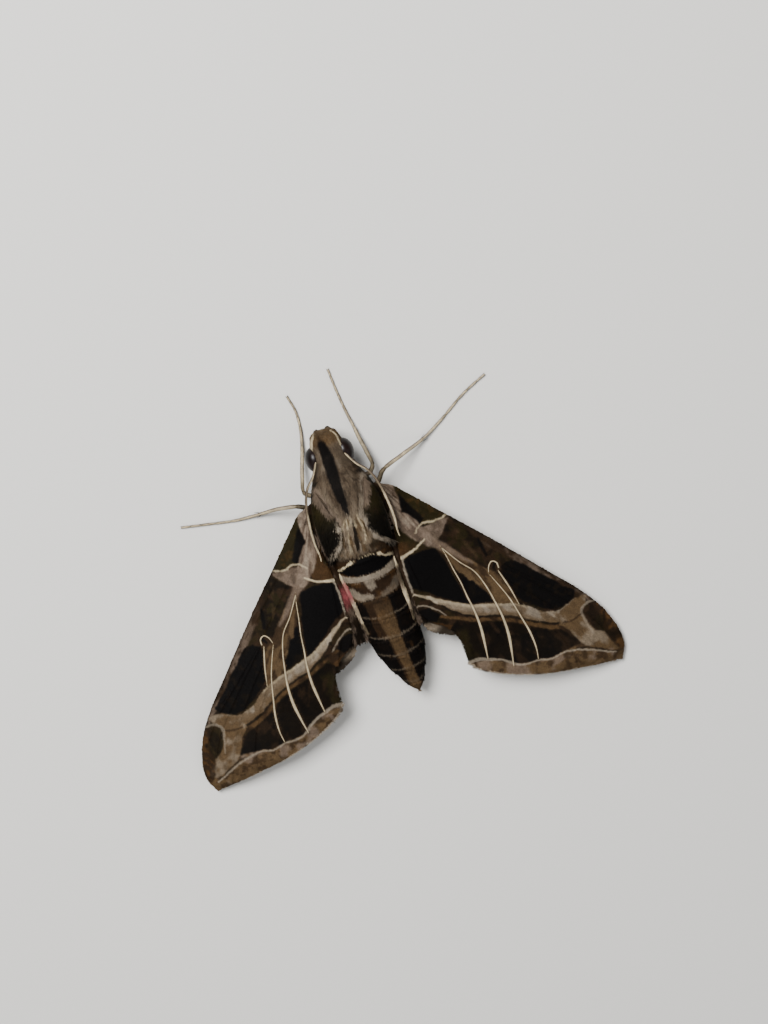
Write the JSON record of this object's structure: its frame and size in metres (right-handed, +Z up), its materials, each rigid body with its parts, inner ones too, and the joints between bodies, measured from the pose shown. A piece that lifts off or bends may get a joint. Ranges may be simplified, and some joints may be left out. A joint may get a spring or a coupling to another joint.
{
  "type": "hawk moth",
  "caption": "Large moth at rest with its wings held back like a roof, long pointed body, clubbed feelers and thin legs standing flat on the ground.",
  "frame": {"origin": "on the floor, under the middle of the moth's outline seen from above", "axes": "head towards -Y, the animal's left towards +X, +Z up from the floor"},
  "size_m": [0.0654, 0.0568, 0.0109],
  "materials": {
    "scales_tan": "matt pinkish-tan hair scales, mixed with cream and grey",
    "scales_olive": "velvety olive-black scales with a cream edge",
    "scales_brown": "matt dark brown and tan scales with cream lines",
    "wing_brown": "flat overlapping scales, dark brown and olive with tan bands and cream veins",
    "hindwing_buff": "flat scales, buff and rose with dark bands",
    "eye_dark": "glossy dark reddish-brown compound eye",
    "leg_cream": "short cream and brown scales",
    "antenna_cream": "cream scales above, brown below"
  },
  "bodies": {
    "root": {"head": "scales_tan", "thorax": "scales_tan", "abdomen": "scales_brown", "eye_left": "eye_dark", "palp_left": "scales_brown", "antenna_left": "antenna_cream", "tegula_left": "scales_olive", "forewing_left": "wing_brown", "hindwing_left": "hindwing_buff", "foreleg_left": "leg_cream", "midleg_left": "leg_cream", "hindleg_left": "leg_cream", "eye_right": "eye_dark", "palp_right": "scales_brown", "antenna_right": "antenna_cream", "tegula_right": "scales_olive", "forewing_right": "wing_brown", "hindwing_right": "hindwing_buff", "foreleg_right": "leg_cream", "midleg_right": "leg_cream", "hindleg_right": "leg_cream"}
  },
  "joints": []
}
